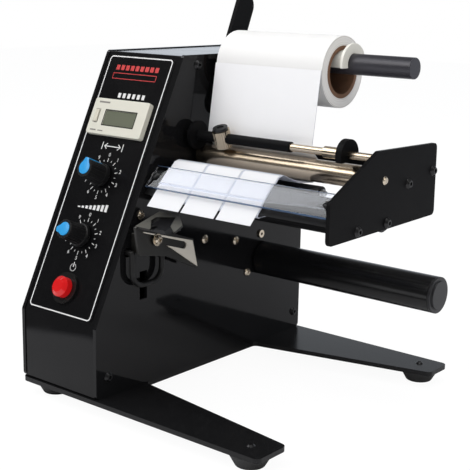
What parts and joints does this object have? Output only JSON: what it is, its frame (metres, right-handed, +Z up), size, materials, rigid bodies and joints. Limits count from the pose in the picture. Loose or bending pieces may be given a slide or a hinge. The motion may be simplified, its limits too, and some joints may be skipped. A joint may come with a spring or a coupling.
{
  "type": "label dispenser",
  "caption": "Bench-top label dispenser: sloped control housing on a forked base, with a supply tube, steel guide roller, peel plate and take-up tube held beside it.",
  "frame": {"origin": "centre of the footprint, at the underside of the rubber feet", "axes": "+X along the rollers, from the control housing to the right side plate; +Y from the sloped front panel to the back; +Z up"},
  "size_m": [0.212, 0.2094, 0.2536],
  "materials": {
    "black_gloss": "gloss black coating",
    "rubber_black": "matt",
    "screw_black": "black oxide",
    "zinc": "zinc plated",
    "nickel": "nickel plated",
    "overlay": "gloss film",
    "cream_plastic": "satin",
    "lcd_window": "clear",
    "key_plastic": "satin",
    "pot_metal": "plated",
    "knob_black": "satin",
    "cap_blue": "satin",
    "switch_black": "satin",
    "button_red": "gloss",
    "board_green": "matt",
    "coil": "varnished",
    "inlet_black": "matt",
    "motor_metal": "plated",
    "pulley_metal": "turned",
    "belt_rubber": "matt",
    "bronze": "sintered",
    "shaft_steel": "ground",
    "roller_rubber": "matt",
    "pinch_grey": "satin",
    "tube_black": "gloss",
    "cap_black": "satin",
    "black_paint": "satin black coating",
    "bar_black": "satin",
    "peel_steel": "satin",
    "acrylic": "clear",
    "roller_steel": "polished",
    "rod_steel": "polished",
    "guide_black": "satin",
    "nickel_knurl": "knurled nickel",
    "bracket_dark": "satin",
    "sensor_black": "satin",
    "stainless": "brushed",
    "lead_black": "satin",
    "tube_grey": "satin",
    "clip_white": "satin",
    "core_board": "matt",
    "label_paper": "matt",
    "liner_paper": "satin"
  },
  "bodies": {
    "frame": {"base_plate": "black_gloss", "rubber_feet": "rubber_black", "foot_screws": "screw_black", "left_wall": "black_gloss", "right_wall": "black_gloss", "housing_cover": "black_gloss", "spacer_posts": "zinc", "black_screws": "screw_black", "nickel_screws": "nickel", "panel_overlay": "overlay", "counter_case": "cream_plastic", "counter_window": "lcd_window", "dial_pots": "pot_metal", "power_switch": "switch_black", "control_board": "board_green", "transformer": "coil", "power_inlet": "inlet_black", "motor_bracket": "zinc", "gear_motor": "motor_metal", "drive_belts": "belt_rubber", "bushes": "bronze", "pinch_axle": "shaft_steel", "right_plate": "black_paint", "front_bar": "bar_black", "tie_bars": "bar_black", "peel_plate": "peel_steel", "clear_guard": "acrylic", "roller_axle": "nickel", "guide_rod": "rod_steel", "sensor_bracket": "bracket_dark", "sensor_body": "sensor_black", "sensor_lead": "lead_black", "wall_eyelet": "nickel", "supply_arm": "black_paint", "supply_stud": "shaft_steel", "supply_tube": "tube_grey", "core_clips": "clip_white", "label_web": "liner_paper", "front_labels": "label_paper"},
    "length_dial": {"length_knob": "knob_black", "length_cap": "cap_blue"},
    "speed_dial": {"speed_knob": "knob_black", "speed_cap": "cap_blue"},
    "power_key": {"power_button": "button_red"},
    "reset_key": {"counter_reset": "key_plastic"},
    "motor_out": {"motor_pulley": "pulley_metal"},
    "feed": {"drive_shaft": "shaft_steel", "drive_roller": "roller_rubber"},
    "pinch": {"pinch_roller": "pinch_grey"},
    "winder": {"take_up_shaft": "shaft_steel", "take_up_tube": "tube_black", "tube_cap": "cap_black"},
    "steel_roller": {"guide_roller": "roller_steel"},
    "left_edge": {"left_guide": "guide_black"},
    "left_screw": {"left_thumb_screw": "nickel_knurl"},
    "right_edge": {"right_guide": "guide_black"},
    "sensor_slide": {"sensor_plate": "stainless"},
    "supply_roll": {"roll_core": "core_board", "label_roll": "label_paper"}
  },
  "joints": [
    {"name": "length_turn", "type": "hinge", "parent": "frame", "child": "length_dial", "pos_m": [-0.0716, -0.0627, 0.14025], "axis": [0, -0.9011, 0.4336], "range_deg": [-150, 150]},
    {"name": "speed_turn", "type": "hinge", "parent": "frame", "child": "speed_dial", "pos_m": [-0.0716, -0.08005, 0.10421], "axis": [0, -0.9011, 0.4336], "range_deg": [-250, 50]},
    {"name": "power_press", "type": "slide", "parent": "frame", "child": "power_key", "axis": [0, 0.9011, -0.4336], "range_m": [0, 0.002], "stiffness_N_per_m": 900, "springref_m": -0.001},
    {"name": "reset_press", "type": "slide", "parent": "frame", "child": "reset_key", "axis": [0, 0.9011, -0.4336], "range_m": [0, 0.0006], "stiffness_N_per_m": 900, "springref_m": -0.0005},
    {"name": "winder_spin", "type": "hinge", "parent": "frame", "child": "winder", "pos_m": [-0.0347, 0.05675, 0.072], "axis": [1, 0, 0], "continuous": true},
    {"name": "motor_spin", "type": "hinge", "parent": "frame", "child": "motor_out", "pos_m": [-0.0542, 0.0175, 0.0801], "axis": [1, 0, 0], "continuous": true},
    {"name": "feed_spin", "type": "hinge", "parent": "frame", "child": "feed", "pos_m": [-0.0042, -0.00625, 0.128], "axis": [1, 0, 0], "continuous": true},
    {"name": "pinch_spin", "type": "hinge", "parent": "frame", "child": "pinch", "pos_m": [-0.0042, -0.00821, 0.13913], "axis": [1, 0, 0], "continuous": true},
    {"name": "steel_roller_spin", "type": "hinge", "parent": "frame", "child": "steel_roller", "pos_m": [-0.0042, -0.01025, 0.153], "axis": [1, 0, 0], "continuous": true},
    {"name": "supply_spin", "type": "hinge", "parent": "frame", "child": "supply_roll", "pos_m": [-0.0042, 0.01675, 0.2093], "axis": [1, 0, 0], "continuous": true},
    {"name": "left_guide_slide", "type": "slide", "parent": "frame", "child": "left_edge", "axis": [1, 0, 0], "range_m": [-0.004, 0.001]},
    {"name": "left_screw_turn", "type": "hinge", "parent": "left_edge", "child": "left_screw", "pos_m": [-0.0102, -0.01925, 0.1665], "axis": [0, -0.342, 0.9397], "range_deg": [-180, 0]},
    {"name": "right_guide_slide", "type": "slide", "parent": "frame", "child": "right_edge", "axis": [1, 0, 0], "range_m": [-0.022, 0.014]},
    {"name": "sensor_adjust", "type": "slide", "parent": "frame", "child": "sensor_slide", "axis": [0, -0.9547, 0.2976], "range_m": [0, 0.0256]}
  ],
  "couplings": [
    {"joint": "motor_spin", "follows": "winder_spin", "ratio": 1.3},
    {"joint": "feed_spin", "follows": "winder_spin", "ratio": 1.3},
    {"joint": "pinch_spin", "follows": "winder_spin", "ratio": -1.7333}
  ]
}
